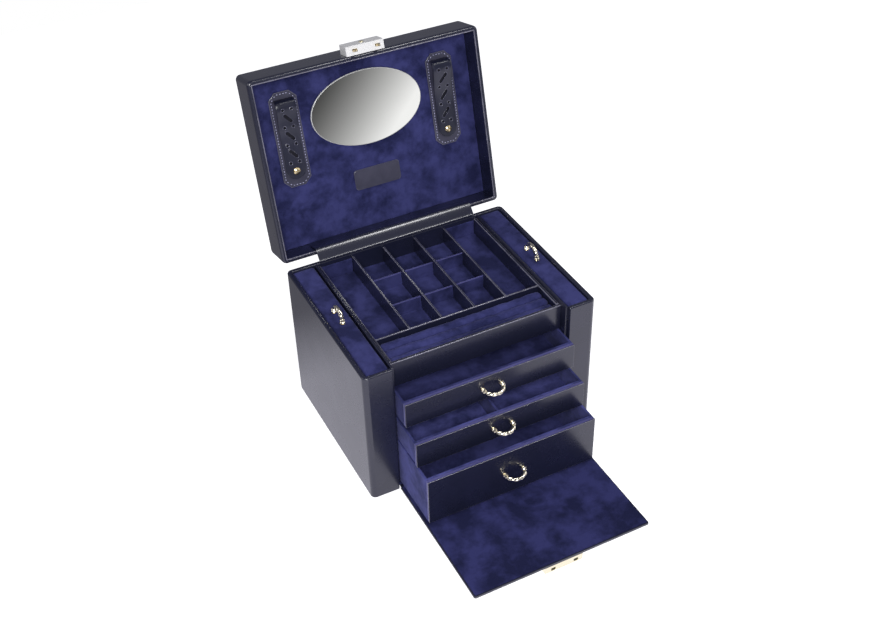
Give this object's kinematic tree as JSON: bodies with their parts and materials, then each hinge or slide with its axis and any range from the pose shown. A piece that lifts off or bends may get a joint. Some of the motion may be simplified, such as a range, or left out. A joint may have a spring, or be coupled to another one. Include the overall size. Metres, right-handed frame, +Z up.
{
  "type": "jewelry gift box",
  "caption": "Leather-covered jewellery case standing open, with a hinged mirrored lid, drop front, sliding drawers, divided ring tray and pull-up necklace panels.",
  "frame": {"origin": "centre of the plinth's underside, which stands on the table", "axes": "+Z up, -Y towards the drop front and the drawers, +X to the case's right as seen from the front"},
  "size_m": [0.3, 0.5238, 0.4365],
  "materials": {
    "leather": "navy grained leather, semi-gloss, over board",
    "velvet": "blue velvet, mottled nap, over board",
    "felt": "black felt",
    "brass": "polished pale gold",
    "silver": "bright plated",
    "mirror": "silvered glass"
  },
  "bodies": {
    "case": {"plinth": "felt", "base_board": "velvet", "left_wall": "leather", "right_wall": "leather", "left_pillar": "leather", "right_pillar": "leather", "back_wall": "leather", "left_partition": "leather", "right_partition": "leather", "lower_shelf": "velvet", "upper_shelf": "leather", "tray_floor": "velvet", "tray_front": "leather", "tray_left_wall": "leather", "tray_right_wall": "leather", "ring_section_divider": "leather", "tray_divider_1": "leather", "tray_divider_2": "leather", "tray_divider_3": "leather", "tray_divider_4": "leather", "cross_divider_1": "velvet", "cross_divider_2": "velvet", "ring_cushion": "velvet", "hinge_case_leaf": "brass", "hinge_pin": "brass", "hinge_band": "leather", "flap_hinge_strip": "leather"},
    "lid": {"lid_shell": "leather", "lid_lining": "velvet", "mirror": "mirror", "left_strap_patch": "leather", "right_strap_patch": "leather", "blank_label": "leather", "hinge_lid_leaf": "brass", "lock_case": "silver"},
    "left_strap": {"left_strap": "leather", "left_snap": "brass"},
    "right_strap": {"right_strap": "leather", "right_snap": "brass"},
    "lock_hooks": {"lock_hooks": "brass"},
    "key_barrel": {"key_barrel": "brass"},
    "flap": {"flap_board": "leather", "flap_lining": "velvet", "strike_box": "brass"},
    "drawer_1": {"drawer_1_front": "leather", "drawer_1_box": "velvet", "drawer_1_pull": "brass"},
    "drawer_2": {"drawer_2_front": "leather", "drawer_2_box": "velvet", "drawer_2_divider": "velvet", "drawer_2_pull": "brass"},
    "drawer_3": {"drawer_3_front": "leather", "drawer_3_box": "velvet", "drawer_3_pull": "brass"},
    "left_necklace_panel": {"left_necklace_panel": "velvet", "left_hook_rail": "brass", "left_panel_pull": "brass"},
    "right_necklace_panel": {"right_necklace_panel": "velvet", "right_hook_rail": "brass", "right_panel_pull": "brass"}
  },
  "joints": [
    {"name": "lid_hinge", "type": "hinge", "parent": "case", "child": "lid", "pos_m": [0, 0.119, 0.198], "axis": [-1, 0, 0], "range_deg": [-104, 0], "deforming": ["hinge_band"]},
    {"name": "flap_hinge", "type": "hinge", "parent": "case", "child": "flap", "pos_m": [0, -0.115, 0.01], "axis": [1, 0, 0], "range_deg": [-2, 0], "deforming": ["flap_hinge_strip"]},
    {"name": "drawer_1_slide", "type": "slide", "parent": "case", "child": "drawer_1", "axis": [0, -1, 0], "range_m": [-0.0392, 0.1108]},
    {"name": "drawer_2_slide", "type": "slide", "parent": "case", "child": "drawer_2", "axis": [0, -1, 0], "range_m": [-0.0642, 0.0858]},
    {"name": "drawer_3_slide", "type": "slide", "parent": "case", "child": "drawer_3", "axis": [0, -1, 0], "range_m": [-0.0912, 0.0588]},
    {"name": "left_panel_slide", "type": "slide", "parent": "case", "child": "left_necklace_panel", "axis": [0, 0, 1], "range_m": [0, 0.165]},
    {"name": "right_panel_slide", "type": "slide", "parent": "case", "child": "right_necklace_panel", "axis": [0, 0, 1], "range_m": [0, 0.165]},
    {"name": "left_strap_hinge", "type": "hinge", "parent": "lid", "child": "left_strap", "pos_m": [-0.1035, 0.19218, 0.38526], "axis": [-1, 0, 0], "range_deg": [0, 100]},
    {"name": "right_strap_hinge", "type": "hinge", "parent": "lid", "child": "right_strap", "pos_m": [0.1035, 0.19218, 0.38526], "axis": [-1, 0, 0], "range_deg": [0, 100]},
    {"name": "key_turn", "type": "hinge", "parent": "lid", "child": "key_barrel", "pos_m": [0, 0.18797, 0.4333], "axis": [0, 0.2419, 0.9703], "range_deg": [0, 90]},
    {"name": "hooks_slide", "type": "slide", "parent": "lid", "child": "lock_hooks", "axis": [1, 0, 0], "range_m": [0, 0.003]}
  ],
  "couplings": [
    {"joint": "key_turn", "follows": "hooks_slide", "rad_per_m": 523}
  ]
}
